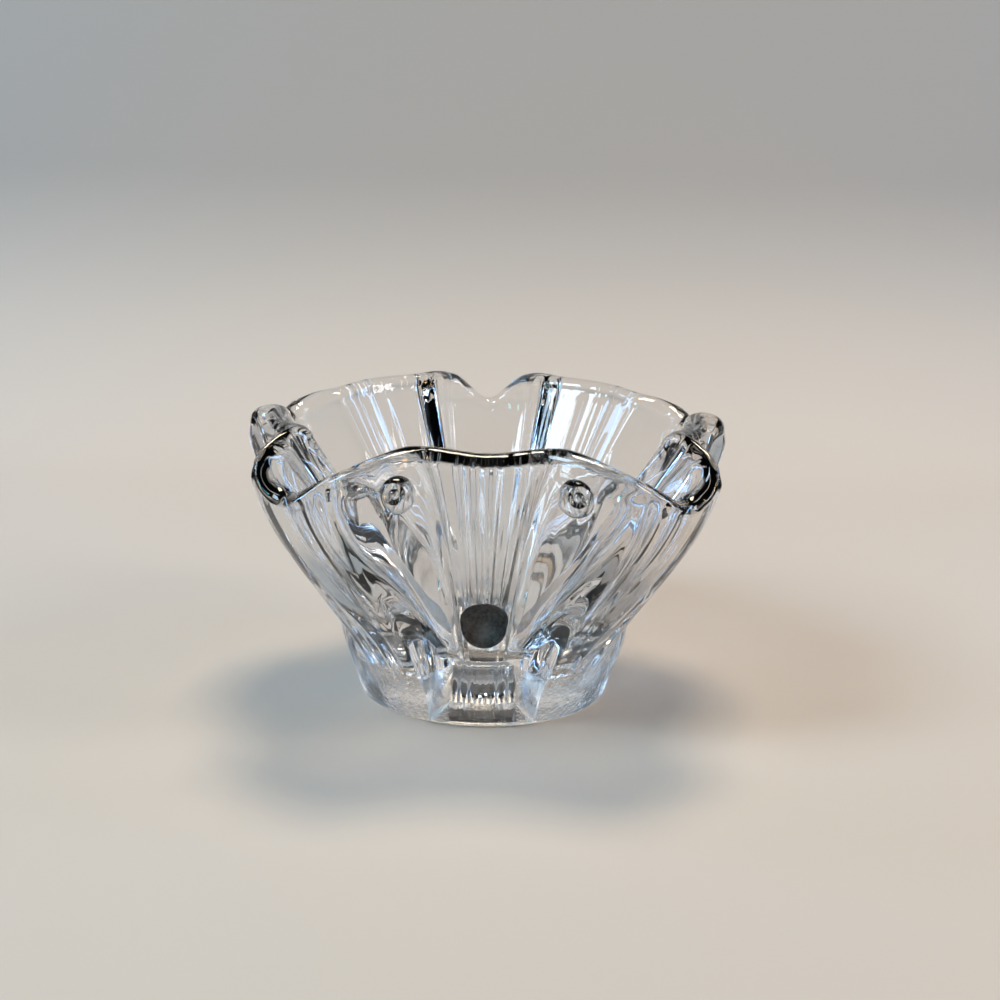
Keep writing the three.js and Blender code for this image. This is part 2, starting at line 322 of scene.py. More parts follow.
@dataclass
class CrystalBowl:
    """The bowl: one skin whose every row and column follows the same rule."""

    form: BowlForm = field(default_factory=BowlForm)
    columns: int = 500
    rows: int = 180
    ball_steps: tuple[int, int] = (72, 36)
    sharp_angle: float = math.radians(38)
    weld: float = 0.01 * MM

    def build(self) -> bpy.types.Object:
        """Builds the skin with Geometry Nodes and turns the result into a plain mesh.

        Returns:
            The finished bowl.
        """
        return grown(self._tree(), self.form, "crystal_bowl_glass")

    def _tree(self) -> Tree:
        """Writes the rule of the skin as a Geometry Nodes tree.

        Returns:
            The tree, with a named input for each size.
        """
        tree, sizes = sized_tree("bowl_skin", self.form)
        grid = tree.nodes.new("GeometryNodeMeshGrid")
        grid.inputs["Vertices X"].default_value = self.columns + 1
        grid.inputs["Vertices Y"].default_value = self.rows + 1
        position = tree.nodes.new("GeometryNodeInputPosition")
        split = tree.nodes.new("ShaderNodeSeparateXYZ")
        tree.links.new(position.outputs[0], split.inputs[0])
        around = (Term(tree, split.outputs["X"]) + 0.5) * (2 * HALF_TURN)
        rule = SkinRule(tree, sizes, around, Term(tree, split.outputs["Y"]) + 0.5)
        radius, height = rule.profile()
        turn = around.apply(Operation.RADIANS)
        join = tree.nodes.new("ShaderNodeCombineXYZ")
        plug(tree, radius * turn.apply(Operation.SINE), join.inputs["X"])
        plug(tree, 0 - radius * turn.apply(Operation.COSINE), join.inputs["Y"])
        plug(tree, height, join.inputs["Z"])
        place = tree.nodes.new("GeometryNodeSetPosition")
        tree.links.new(grid.outputs["Mesh"], place.inputs["Geometry"])
        tree.links.new(join.outputs[0], place.inputs["Position"])
        shaded = shaded_skin(tree, self._with_balls(tree, sizes, place.outputs[0]), self.sharp_angle)
        leave = tree.nodes.new("NodeGroupOutput")
        tree.links.new(shaded, leave.inputs[0])
        return tree

    def _with_balls(self, tree: Tree, sizes: dict[str, Term], skin: Socket) -> Socket:
        """Closes the skin, joins the round caps to it and hollows the ground mark, whose concave face and the
        hollow's roof take the finish in painted shade.

        Args:
            tree: The tree.
            sizes: The named sizes.
            skin: The open skin.

        Returns:
            One closed skin with its materials.
        """
        merge = tree.nodes.new("GeometryNodeMergeByDistance")
        merge.inputs["Distance"].default_value = self.weld
        tree.links.new(skin, merge.inputs["Geometry"])
        crystal, ground = CrystalFinish().material(), GroundPaintedShadeFinish().material()
        boss = (sizes["boss_reach"], sizes["boss_height"])
        mark = (sizes["mark_reach"], sizes["mark_height"])
        cutter = (sizes["cutter_reach"], sizes["mark_height"])
        sides = (sizes["boss_azimuth"], sizes["boss_azimuth"] * -1)
        front = sizes["boss_azimuth"] * 0
        glass = painted(tree, merge.outputs[0], crystal)
        ball = self._ball(tree, sizes, "mark_radius", *mark, front)
        glass = self._boolean(tree, "UNION", glass, painted(tree, ball, crystal))
        steps = (("UNION", "boss", 0.0), ("DIFFERENCE", "dimple", sizes["dimple_forward"]),
                 ("UNION", "pupil", sizes["pupil_forward"]))
        for operation, part, forward in steps:
            for side in sides:
                ball = self._ball(tree, sizes, f"{part}_radius", *boss, side, forward)
                glass = self._boolean(tree, operation, glass, painted(tree, ball, crystal))
        # The cut leaves the mark's concave face in the ground finish: painted shade with a painted highlight.
        hollow = self._ball(tree, sizes, "cutter_radius", *cutter, front)
        glass = self._boolean(tree, "DIFFERENCE", glass, painted(tree, hollow, ground))
        # The hollow's roof under the pad takes the same finish, coloured as painted shade.
        return painted(tree, glass, ground, self._hollow_roof(tree, sizes))

    @staticmethod
    def _hollow_roof(tree: Tree, sizes: dict[str, Term]) -> Term:
        """Says which faces are the ground roof of the hollow that holds the pad."""
        position = tree.nodes.new("GeometryNodeInputPosition")
        split = tree.nodes.new("ShaderNodeSeparateXYZ")
        tree.links.new(position.outputs[0], split.inputs[0])
        across, deep, height = (Term(tree, split.outputs[axis]) for axis in "XYZ")
        inside = (sizes["hollow_radius"] ** 2 - across * across - deep * deep).apply(Operation.ABOVE, 0)
        level = (height - sizes["hollow_depth"]).apply(Operation.ABSOLUTE)
        return inside * (sizes["hollow_band"] - level).apply(Operation.ABOVE, 0)

    def _ball(self, tree: Tree, sizes: dict[str, Term], radius: str, reach: Term, height: Term, azimuth: Term,
              forward: Term | Number = 0.0) -> Socket:
        """Adds a ball.

        Args:
            tree: The tree.
            sizes: The named sizes.
            radius: The name of the ball's radius.
            reach: How far its centre is from the bowl's axis.
            height: The height of its centre.
            azimuth: Degrees from the front.
            forward: How far it is then moved to the front, along the tilted axis of the bosses.

        Returns:
            The ball's mesh.
        """
        ball = tree.nodes.new("GeometryNodeMeshUVSphere")
        ball.inputs["Segments"].default_value, ball.inputs["Rings"].default_value = self.ball_steps
        plug(tree, sizes[radius], ball.inputs["Radius"])
        turn = azimuth.apply(Operation.RADIANS)
        tilt = sizes["boss_tilt"].apply(Operation.RADIANS)
        ahead, rise = tilt.apply(Operation.COSINE) * forward, tilt.apply(Operation.SINE) * forward
        spot = tree.nodes.new("ShaderNodeCombineXYZ")
        plug(tree, reach * turn.apply(Operation.SINE), spot.inputs["X"])
        plug(tree, reach * turn.apply(Operation.COSINE) * -1 - ahead, spot.inputs["Y"])
        plug(tree, height + rise, spot.inputs["Z"])
        moved = tree.nodes.new("GeometryNodeTransform")
        tree.links.new(ball.outputs["Mesh"], moved.inputs["Geometry"])
        tree.links.new(spot.outputs[0], moved.inputs["Translation"])
        return moved.outputs[0]

    @staticmethod
    def _boolean(tree: Tree, operation: str, solid: Socket, other: Socket) -> Socket:
        """Joins a second solid to a first, or cuts it from the first.

        Args:
            tree: The tree.
            operation: UNION or DIFFERENCE.
            solid: The first solid.
            other: The second solid.

        Returns:
            The result.
        """
        node = tree.nodes.new("GeometryNodeMeshBoolean")
        node.operation = operation
        node.solver = "MANIFOLD"
        if operation == "DIFFERENCE":
            tree.links.new(solid, node.inputs["Mesh 1"])
            tree.links.new(other, node.inputs["Mesh 2"])
        else:
            tree.links.new(other, node.inputs["Mesh 2"])
            tree.links.new(solid, node.inputs["Mesh 2"])
        return node.outputs["Mesh"]


class SkinRule:
    """Works out the radius and height of every point of the bowl's skin."""

    FURROW_BAND = (0.25, 0.75)

    def __init__(self, tree: Tree, sizes: dict[str, Term], around: Term, along: Term) -> None:
        """Takes the named sizes, the azimuth in degrees and the place from underside to floor, 0 to 1."""
        self.tree = tree
        self.size = sizes
        self.along = along
        self.around = around
        self.foot_top = sizes["foot_thickness"] * 2
        self.front = HALF_TURN - (around - HALF_TURN).apply(Operation.ABSOLUTE)
        self.pulled = self.front.along(PULLED)

    def section(self, section: Section) -> Term:
        """Gives how far along a section a point is: 0 before it and 1 after it."""
        return self.along.ramp(*section.value)

    def regular(self, height: Term) -> Term:
        """Gives the azimuth that a point had before its lip was pulled sideways."""
        size = self.size
        pull = height.ramp(size["pull_start"], size["pull_end"], smooth=True)
        return self.front.blend(self.pulled, pull)

    def lip_share(self, regular: Term, half_width: Term, flank: Term) -> Term:
        """Says how far a point belongs to a lip.

        Args:
            regular: Its azimuth before the pull.
            half_width: Half of the lip's width.
            flank: Half of the width of the flank beside it.

        Returns:
            1 on a lip, 0 on a panel, and a straight flank with rounded corners between them.
        """
        spacing, start = self.size["spacing"], self.size["half_lip"] * 2
        order = ((regular - start) / spacing).apply(Operation.ROUND)
        order = order.apply(Operation.MAXIMUM, 0).apply(Operation.MINIMUM, 2)
        away = (regular - start - spacing * order).apply(Operation.ABSOLUTE)
        across = (away - half_width + flank) / (flank * 2)
        across = across.apply(Operation.MAXIMUM, 0).apply(Operation.MINIMUM, 1)
        fillet = self.size["flank_fillet"]
        rounding = fillet * (1 - fillet) * 2
        near = across.apply(Operation.MINIMUM, fillet)
        far = (1 - across).apply(Operation.MINIMUM, fillet)
        middle = across - near - (fillet - far)
        fall = near * near / rounding + middle / (1 - fillet) + (fillet * fillet - far * far) / rounding
        return 1 - fall

    def lip_radius(self, regular: Term, height: Term) -> Term:
        """Gives the outside of the glass on a lip's centre line."""
        size = self.size
        reach = regular.along(LIP_REACHES)
        rise = height.ramp(0, size["crest_height"])
        swing = height.ramp(0, size["crest_height"], smooth=True)
        over = height.ramp(size["lip_height"], size["corner_height"]) ** 2
        curl = size["lip_curl"] * (reach - size["panel_radius"]) * over
        along = swing.blend(rise, size["lip_straightness"])
        return size["foot_radius"].blend(reach, along) - curl - size["lip_clearance"]

    def panel_radius(self, height: Term) -> Term:
        """Gives the outside of the glass on a panel's centre line."""
        size = self.size
        rise = height.ramp(size["block_height"], size["panel_height"])
        return size["recess_radius"].blend(size["panel_radius"], rise ** size["panel_flare"])

    def furrows(self, regular: Term, height: Term, count: Term, layer: FurrowSet) -> Term:
        """Reads the pattern of furrows that run along the pulled glass.

        Args:
            regular: The azimuth before the pull, which the furrows follow.
            height: The height.
            count: How many there are in a radian.
            layer: Which set they belong to.

        Returns:
            0 where the glass is untouched and 1 in the deepest furrow.
        """
        side = 1 - self.around.apply(Operation.ABOVE, HALF_TURN) * 2
        turn = regular.apply(Operation.RADIANS)
        across = turn.apply(Operation.SINE) * count * side
        along = turn.apply(Operation.COSINE) * count
        furrow = across.noise(along, height * self.size["flow_stretch"] + layer.value)
        return furrow.ramp(*self.FURROW_BAND, smooth=True)

    def flow(self, regular: Term, height: Term, layer: FurrowSet) -> Term:
        """Gives the depth of the shallow furrows that pulling leaves along the glass.

        Args:
            regular: The azimuth before the pull.
            height: The height.
            layer: Which face of the glass they are on.

        Returns:
            The depth, fading out at the foot.
        """
        size = self.size
        fade = height.ramp(self.foot_top, size["block_height"], smooth=True)
        fade = fade * regular.ramp(0, size["calm_edge"], smooth=True)
        return size["flow_depth"] * self.furrows(regular, height, size["flow_count"], layer) * fade

    def fan(self, regular: Term, height: Term, share: Term) -> Term:
        """Gives the depth of the fine lines that fan out inside each lip.

        Args:
            regular: The azimuth before the pull.
            height: The height.
            share: 1 on a lip and 0 on a panel.

        Returns:
            The depth, growing towards the rim.
        """
        size = self.size
        rise = height.ramp(size["fan_start"], size["lip_height"], smooth=True)
        lines = self.furrows(regular, height, size["flow_count"] * size["fan_fineness"], FurrowSet.FAN)
        return size["fan_depth"] * lines * rise * share

    def wave(self, spacing: Term) -> Term:
        """Gives a wave around the bowl, 0 to 1, whose spacing in degrees divides a full turn."""
        turned = (self.around / spacing * (2 * math.pi)).apply(Operation.COSINE)
        return turned * 0.5 + 0.5

    def ribs(self, regular: Term, height: Term) -> Term:
        """Gives the depth of the upright ribs inside the front panel.

        Args:
            regular: The azimuth before the pull.
            height: The height.

        Returns:
            The depth, fading out towards the floor and the edges of the panel.
        """
        size = self.size
        fade = regular.ramp(size["half_lip"], size["rib_calm"], smooth=True)
        rise = height.ramp(size["recess_height"], size["rib_top"], smooth=True)
        return size["rib_depth"] * self.wave(size["rib_spacing"]) * fade * rise

    def recess_ribs(self) -> Term:
        """Gives the depth of the upright ribs on the face at the back of the recess."""
        return self.size["recess_rib_depth"] * self.wave(self.size["recess_rib_spacing"])

    def profile(self) -> tuple[Term, Term]:
        """Joins the sections into one skin.

        Returns:
            The radius and the height of each point.
        """
        size = self.size
        rim = self.regular(size["panel_height"]).along(RIM_HEIGHTS)
        shoulder = rim - size["rim_crest"]
        floor_top = size["floor_height"] + size["floor_rounding"]
        roof = size["recess_height"]
        height = self.foot_top.blend(roof - size["ledge_height"], self.section(Section.BLOCK))
        height = height + size["ledge_height"] * self.section(Section.LEDGE)
        height = height.blend(shoulder, self.section(Section.OUTSIDE))
        height = height.blend(floor_top, self.section(Section.INSIDE))
        regular = self.regular(height)
        lip = self.lip_radius(regular, height)
        panel = self.panel_radius(height)
        half = size["spacing"] / 2
        beside = self.front.ramp(half - size["recess_edge"], half + size["recess_edge"], smooth=True)
        fade = height.ramp(size["block_height"], size["flute_height"], smooth=True)
        ledge = height.ramp(roof - size["ledge_height"], roof)
        stepped = (size["recess_radius"] - self.recess_ribs()).blend(panel, ledge)
        foot_panel = stepped.blend(lip, (1 - fade) * beside)
        half_width = size["recess_half_width"].blend(size["outer_half_width"], ledge)
        flank = size["recess_flank"].blend(size["outer_flank"], ledge)
        outer_share = self.lip_share(regular, half_width, flank)
        outer = foot_panel.blend(lip, outer_share) - self.flow(regular, height, FurrowSet.OUTSIDE)
        depth = height.ramp(size["panel_height"], 0) ** 2
        lip_inside = lip - size["rim_wall"].blend(size["lip_root_wall"], depth)
        panel_inside = panel - size["rim_wall"].blend(size["panel_root_wall"], depth)
        inner_share = self.lip_share(regular, size["inner_half_width"], size["inner_flank"])
        inner = panel_inside.blend(lip_inside, inner_share) - self.flow(regular, height, FurrowSet.INSIDE)
        inner = inner - self.ribs(regular, height) - self.fan(regular, height, inner_share)
        over = self.section(Section.RIM) * math.pi
        radius = (outer + inner) / 2 + (outer - inner) / 2 * over.apply(Operation.COSINE)
        height = height + size["rim_crest"] * over.apply(Operation.SINE)
        sink = self.section(Section.FLOOR) * (math.pi / 2)
        radius = radius * sink.apply(Operation.COSINE)
        height = height - size["floor_rounding"] * sink.apply(Operation.SINE)
        return self.foot(radius, height)

    def foot(self, radius: Term, height: Term) -> tuple[Term, Term]:
        """Adds the underside with its hollow, and the disc under the recess.

        Args:
            radius: The radius of the points above the foot.
            height: Their height.

        Returns:
            The radius and the height with the foot's.
        """
        size = self.size
        round_over = self.section(Section.FILLET) * (math.pi / 2)
        flat_radius = size["foot_radius"] - size["foot_fillet"]
        base = size["hollow_radius"] * self.section(Section.HOLLOW_ROOF)
        base = base.blend(flat_radius, self.section(Section.UNDERSIDE))
        base = base + size["foot_fillet"] * round_over.apply(Operation.SINE)
        rise = size["hollow_depth"] * (1 - self.section(Section.HOLLOW_SIDE))
        rise = rise + size["foot_fillet"] * (1 - round_over.apply(Operation.COSINE))
        edge = size["foot_thickness"] - size["foot_fillet"]
        rise = rise + edge * self.section(Section.FOOT_EDGE)
        above = self.section(Section.RECESS)
        return base.blend(radius, above), rise.blend(height, above)


def painted(tree: Tree, part: Socket, material: bpy.types.Material, faces: Term | bool = True) -> Socket:
    """Gives a part of the geometry its material.

    Args:
        tree: The tree.
        part: The part.
        material: The material.
        faces: Which of its faces, or all of them.

    Returns:
        The part with its material.
    """
    node = tree.nodes.new("GeometryNodeSetMaterial")
    node.inputs["Material"].default_value = material
    plug(tree, faces, node.inputs["Selection"])
    tree.links.new(part, node.inputs["Geometry"])
    return node.outputs[0]


def shaded_skin(tree: Tree, skin: Socket, sharp_angle: float) -> Socket:
    """Shades a skin smooth apart from its crisp edges.

    Args:
        tree: The tree.
        skin: The closed skin.
        sharp_angle: Edges that turn more than this stay crisp, in radians.

    Returns:
        The shaded skin.
    """
    smooth = tree.nodes.new("GeometryNodeSetShadeSmooth")
    tree.links.new(skin, smooth.inputs["Geometry"])
    angle = tree.nodes.new("GeometryNodeInputMeshEdgeAngle")
    crisp = Term(tree, angle.outputs[0]).apply(Operation.ABOVE, sharp_angle)
    edges = tree.nodes.new("GeometryNodeSetShadeSmooth")
    edges.domain = "EDGE"
    edges.inputs["Shade Smooth"].default_value = False
    tree.links.new(smooth.outputs[0], edges.inputs["Geometry"])
    tree.links.new(crisp.socket, edges.inputs["Selection"])
    real = tree.nodes.new("GeometryNodeRealizeInstances")
    tree.links.new(edges.outputs[0], real.inputs[0])
    return real.outputs[0]


@dataclass(frozen=True)
class PadForm:
    """Sizes of the felt pad, in metres."""

    radius: float = 10.95 * MM
    bottom: float = 0.08 * MM
    thickness: float = 1.4 * MM
    mat_scale: float = 2600.0
    mat_depth: float = 0.09 * MM
    fibre_density: float = 6.0e6
    fibre_length: float = 1.3 * MM
    fibre_bow: float = 0.35 * MM
    fibre_radius: float = 0.018 * MM


@dataclass
class FeltPad:
    """The felt pad glued into the hollow of the underside: a matted disc under loose fibres."""

    form: PadForm = field(default_factory=PadForm)
    sides: int = 96
    layers: tuple[int, int] = (6, 22)

    def build(self) -> bpy.types.Object:
        """Builds the pad.

        Returns:
            The finished pad, which the glue holds just clear of the glass.
        """
        return grown(self._tree(), self.form, "felt_pad_matted")

    def _tree(self) -> Tree:
        """Writes the pad's rule.

        Returns:
            The tree, with a named input for each size.
        """
        tree, size = sized_tree("felt_pad", self.form)
        disc = tree.nodes.new("GeometryNodeMeshCylinder")
        disc.inputs["Vertices"].default_value = self.sides
        disc.inputs["Side Segments"].default_value, disc.inputs["Fill Segments"].default_value = self.layers
        plug(tree, size["radius"], disc.inputs["Radius"])
        plug(tree, size["thickness"], disc.inputs["Depth"])
        matted = tree.nodes.new("GeometryNodeSetPosition")
        tree.links.new(disc.outputs["Mesh"], matted.inputs["Geometry"])
        tree.links.new(self._dent(tree, size), matted.inputs["Offset"])
        points = tree.nodes.new("GeometryNodeDistributePointsOnFaces")
        tree.links.new(matted.outputs[0], points.inputs["Mesh"])
        plug(tree, size["fibre_density"], points.inputs["Density"])
        plug(tree, self._middle(tree, size), points.inputs["Selection"])
        spread = tree.nodes.new("GeometryNodeInstanceOnPoints")
        tree.links.new(points.outputs["Points"], spread.inputs["Points"])
        tree.links.new(self._fibre(tree, size), spread.inputs["Instance"])
        turn = tree.nodes.new("FunctionNodeRandomValue")
        turn.data_type = "FLOAT_VECTOR"
        turn.inputs["Max"].default_value = (0.0, 0.0, 2 * math.pi)
        tree.links.new(turn.outputs["Value"], spread.inputs["Rotation"])
        both = tree.nodes.new("GeometryNodeJoinGeometry")
        tree.links.new(spread.outputs[0], both.inputs[0])
        tree.links.new(matted.outputs[0], both.inputs[0])
        lift = tree.nodes.new("GeometryNodeTransform")
        rise = tree.nodes.new("ShaderNodeCombineXYZ")
        plug(tree, size["bottom"] + size["thickness"] * 0.5, rise.inputs["Z"])
        tree.links.new(both.outputs[0], lift.inputs["Geometry"])
        tree.links.new(rise.outputs[0], lift.inputs["Translation"])
        shaded = shaded_skin(tree, painted(tree, lift.outputs[0], FeltFinish().material()), math.radians(50))
        leave = tree.nodes.new("NodeGroupOutput")
        tree.links.new(shaded, leave.inputs[0])
        return tree

    def _dent(self, tree: Tree, size: dict[str, Term]) -> Socket:
        """Gives the small inward dents of the matted fibres, as an offset."""
        position = tree.nodes.new("GeometryNodeInputPosition")
        noise = tree.nodes.new("ShaderNodeTexNoise")
        tree.links.new(position.outputs[0], noise.inputs["Vector"])
        plug(tree, size["mat_scale"], noise.inputs["Scale"])
        normal = tree.nodes.new("GeometryNodeInputNormal")
        dent = tree.nodes.new("ShaderNodeVectorMath")
        dent.operation = "SCALE"
        tree.links.new(normal.outputs[0], dent.inputs[0])
        plug(tree, Term(tree, noise.outputs[0]) * size["mat_depth"] * -1, dent.inputs["Scale"])
        return dent.outputs[0]

    def _middle(self, tree: Tree, size: dict[str, Term]) -> Term:
        """Says which points are far enough from the edge for a fibre to end on the pad."""
        position = tree.nodes.new("GeometryNodeInputPosition")
        split = tree.nodes.new("ShaderNodeSeparateXYZ")
        tree.links.new(position.outputs[0], split.inputs[0])
        across, deep = Term(tree, split.outputs["X"]), Term(tree, split.outputs["Y"])
        away = across * across + deep * deep
        free = size["radius"] - size["fibre_length"]
        return (free * free - away).apply(Operation.ABOVE, 0)

    def _fibre(self, tree: Tree, size: dict[str, Term]) -> Socket:
        """Makes one bowed fibre that lies flat."""
        bow = tree.nodes.new("GeometryNodeCurveQuadraticBezier")
        bow.inputs["Resolution"].default_value = 4
        bow.inputs["Start"].default_value = (0.0, 0.0, 0.0)
        middle, end = (size["fibre_length"] * 0.5, size["fibre_bow"]), (size["fibre_length"], 0)
        spots = (("Middle", middle), ("End", end))
        for label, terms in spots:
            spot = tree.nodes.new("ShaderNodeCombineXYZ")
            for term, place in zip(terms, spot.inputs):
                plug(tree, term, place)
            tree.links.new(spot.outputs[0], bow.inputs[label])
        ring = tree.nodes.new("GeometryNodeCurvePrimitiveCircle")
        ring.inputs["Resolution"].default_value = 3
        plug(tree, size["fibre_radius"], ring.inputs["Radius"])
        hair = tree.nodes.new("GeometryNodeCurveToMesh")
        hair.inputs["Fill Caps"].default_value = True
        tree.links.new(bow.outputs[0], hair.inputs["Curve"])
        tree.links.new(ring.outputs["Curve"], hair.inputs["Profile Curve"])
        return hair.outputs[0]


def sized_tree(name: str, form: BowlForm | PadForm) -> tuple[Tree, dict[str, Term]]:
    """Starts a Geometry Nodes tree with a named input for each size of a form.

    Args:
        name: The tree's name.
        form: The sizes.

    Returns:
        The tree and its inputs by name.
    """
    tree = bpy.data.node_groups.new(name, "GeometryNodeTree")
    tree.interface.new_socket("Geometry", in_out="OUTPUT", socket_type="NodeSocketGeometry")
    for size in fields(form):
        tree.interface.new_socket(size.name, in_out="INPUT", socket_type="NodeSocketFloat")
    entry = tree.nodes.new("NodeGroupInput")
    return tree, {size.name: Term(tree, entry.outputs[size.name]) for size in fields(form)}


def grown(tree: Tree, form: BowlForm | PadForm, name: str) -> bpy.types.Object:
    """Runs a Geometry Nodes tree with the sizes of a form and turns the result into a plain mesh object.

    Args:
        tree: The tree.
        form: The sizes.
        name: The name of the new object.

    Returns:
        The plain mesh object.
    """
    holder = bpy.data.objects.new(tree.name, bpy.data.meshes.new(tree.name))
    bpy.context.scene.collection.objects.link(holder)
    modifier = holder.modifiers.new(tree.name, "NODES")
    modifier.node_group = tree
    for item in tree.interface.items_tree:
        if item.in_out == "INPUT":
            modifier[item.identifier] = float(getattr(form, item.name))
    evaluated = holder.evaluated_get(bpy.context.evaluated_depsgraph_get())
    mesh = bpy.data.meshes.new_from_object(evaluated)
    mesh.name = name
    piece = bpy.data.objects.new(name, mesh)
    bpy.context.scene.collection.objects.link(piece)
    bpy.data.objects.remove(holder)
    return piece


@dataclass(frozen=True)
class CrystalFinish:
    """Clear fire-polished lead crystal with the faint waves that hand work leaves."""

    tint: tuple[float, float, float, float] = (0.93, 0.94, 0.955, 1.0)
    refraction: float = 1.55
    wave_scale: float = 26.0
    wave_depth: float = 0.12 * MM
    streak_count: float = 16.0
    streak_stretch: float = 9.0
    streak_depth: float = 0.04 * MM
    crinkle_scale: float = 480.0
    crinkle_depth: float = 0.4 * MM
    recess_top: float = 25 * MM
    recess_face: float = 14.6 * MM
    recess_edge: float = 36 * MM
    mask_edges: tuple[float, float] = (1.1, 0.92)
    wear_height: float = 1.2 * MM
    wear_roughness: float = 0.35
    scuff_scale: float = 900.0

    def material(self) -> bpy.types.Material:
        """Builds the material.

        Returns:
            A clear glass whose waves and foot wear follow Object coordinates.
        """
        made, shader, tree = blank_material("clear_crystal")
        shader.inputs["Base Color"].default_value = self.tint
        shader.inputs["Transmission Weight"].default_value = 1.0
        shader.inputs["IOR"].default_value = self.refraction
        where = tree.nodes.new("ShaderNodeTexCoord").outputs["Object"]
        waves = grain(tree, where, self.wave_scale, 1.0, 0.0, 1.0)
        streaks = shared(tree, flow_group(), where, Count=self.streak_count, Stretch=self.streak_stretch)
        split = tree.nodes.new("ShaderNodeSeparateXYZ")
        tree.links.new(where, split.inputs[0])
        crinkles = Term(tree, grain(tree, where, self.crinkle_scale, 2.0, 0.0, 1.0))
        crinkles = crinkles * self._recess_sides(split)
        normal = None
        depths = (waves, self.wave_depth), (streaks, self.streak_depth), (crinkles.socket, self.crinkle_depth)
        for height, depth in depths:
            normal = bumped(tree, height, depth, normal)
        tree.links.new(normal, shader.inputs["Normal"])
        worn = Term(tree, split.outputs["Z"]).ramp(self.wear_height, 0)
        scuffs = Term(tree, grain(tree, where, self.scuff_scale, 4.0, 0.0, 1.0))
        plug(tree, worn * scuffs * self.wear_roughness, shader.inputs["Roughness"])
        return made

    def _recess_sides(self, split: bpy.types.Node) -> Term:
        """Gives the mask of the two crinkled sides of the front recess.

        Args:
            split: The node that separates the Object coordinates.

        Returns:
            1 on the sides and 0 elsewhere.
        """
        across, deep, height = (Term(split.id_data, split.outputs[axis]) for axis in "XYZ")
        more, less = self.mask_edges
        beside = across.apply(Operation.ABSOLUTE).ramp(self.recess_face, self.recess_face * more)
        ahead = deep.ramp(-self.recess_edge, -self.recess_edge * more)
        under = height.ramp(self.recess_top, self.recess_top * less)
        return beside * ahead * under


@dataclass(frozen=True)
class GroundPaintedShadeFinish:
    """Glass ground matt, as on the round mark of the front panel, coloured near black as painted shade, with
    a painted highlight low in the mark.
    """

    # dark and light are both painted shade, much darker than ground glass is; the grit and patches only vary
    # them at random.
    dark: tuple[float, float, float, float] = (0.022, 0.021, 0.022, 1.0)
    light: tuple[float, float, float, float] = (0.3, 0.3, 0.31, 1.0)
    grit_scale: float = 620.0
    patch_scale: float = 170.0
    # A soft lighter spot low in the middle of the mark: a painted highlight where light falls into its
    # concave face.
    worn_centre: tuple[float, float, float] = (0.0, -46 * MM, 40 * MM)
    worn_radius: float = 6.5 * MM
    shares: tuple[float, float, float] = (0.6, 0.4, 0.3)
    spread: tuple[float, float] = (0.38, 0.85)
    roughness: tuple[float, float] = (0.35, 0.65)
    grit_depth: float = 0.05 * MM

    def material(self) -> bpy.types.Material:
        """Builds the material.

        Returns:
            A matt surface with a fine grit, coloured in painted shade with a painted highlight spot.
        """
        made, shader, tree = blank_material("ground_glass")
        shader.inputs["IOR"].default_value = 1.55
        where = tree.nodes.new("ShaderNodeTexCoord").outputs["Object"]
        grit = grain(tree, where, self.grit_scale, 6.0, 0.0, 1.0)
        patches = Term(tree, grain(tree, where, self.patch_scale, 2.0, 0.0, 1.0))
        away = tree.nodes.new("ShaderNodeVectorMath")
        away.operation = "DISTANCE"
        tree.links.new(where, away.inputs[0])
        away.inputs[1].default_value = self.worn_centre
        # worn and spot carry the painted highlight, not wear: the tone grows lighter towards the spot's
        # centre.
        worn = Term(tree, away.outputs["Value"]).ramp(self.worn_radius, 0, smooth=True)
        fine, broad, spot = self.shares
        tone = Term(tree, grit) * fine + patches * broad + worn * spot
        tones = two_tones(tree, tone, self.spread, (self.dark, self.light))
        tree.links.new(tones, shader.inputs["Base Color"])
        least, most = self.roughness
        plug(tree, Term(tree, grit) * (most - least) + least, shader.inputs["Roughness"])
        tree.links.new(bumped(tree, grit, self.grit_depth), shader.inputs["Normal"])
        return made


@dataclass(frozen=True)
class FeltFinish:
    """Dense grey felt of matted fibres."""

    dark: tuple[float, float, float, float] = (0.05, 0.052, 0.058, 1.0)
    light: tuple[float, float, float, float] = (0.22, 0.222, 0.235, 1.0)
    fibre_scale: float = 700.0
    fibre_depth: float = 0.15 * MM
    spread: tuple[float, float] = (0.35, 0.65)
    roughness: float = 0.95
    sheen: float = 0.3

    def material(self) -> bpy.types.Material:
        """Builds the material.

        Returns:
            A matt felt with a fine mottled grain.
        """
        made, shader, tree = blank_material("felt")
        shader.inputs["Roughness"].default_value = self.roughness
        shader.inputs["Sheen Weight"].default_value = self.sheen
        where = tree.nodes.new("ShaderNodeTexCoord").outputs["Object"]
        mottle = grain(tree, where, self.fibre_scale, 6.0, 0.0, 1.0)
        tones = two_tones(tree, Term(tree, mottle), self.spread, (self.dark, self.light))
        tree.links.new(tones, shader.inputs["Base Color"])
        tree.links.new(bumped(tree, mottle, self.fibre_depth), shader.inputs["Normal"])
        return made


@dataclass(frozen=True)
class PaperFinish:
    """The matt pale sweep that the bowl stands on."""

    colour: tuple[float, float, float, float] = (0.56, 0.485, 0.42, 1.0)

    def material(self) -> bpy.types.Material:
        """Builds the material.

        Returns:
            A plain matt pale surface with a barely visible tooth.
        """
        made, shader, tree = blank_material("paper")
        shader.inputs["Base Color"].default_value = self.colour
        where = tree.nodes.new("ShaderNodeTexCoord").outputs["Object"]
        tree.links.new(grain(tree, where, 400.0, 3.0, 0.85, 0.95), shader.inputs["Roughness"])
        return made


def blank_material(name: str) -> tuple[bpy.types.Material, bpy.types.Node, Tree]:
    """Starts a node material.

    Args:
        name: The material's name.

    Returns:
        The material, its Principled shader and its tree.
    """
    made = bpy.data.materials.new(name)
    made.use_nodes = True
    return made, made.node_tree.nodes["Principled BSDF"], made.node_tree


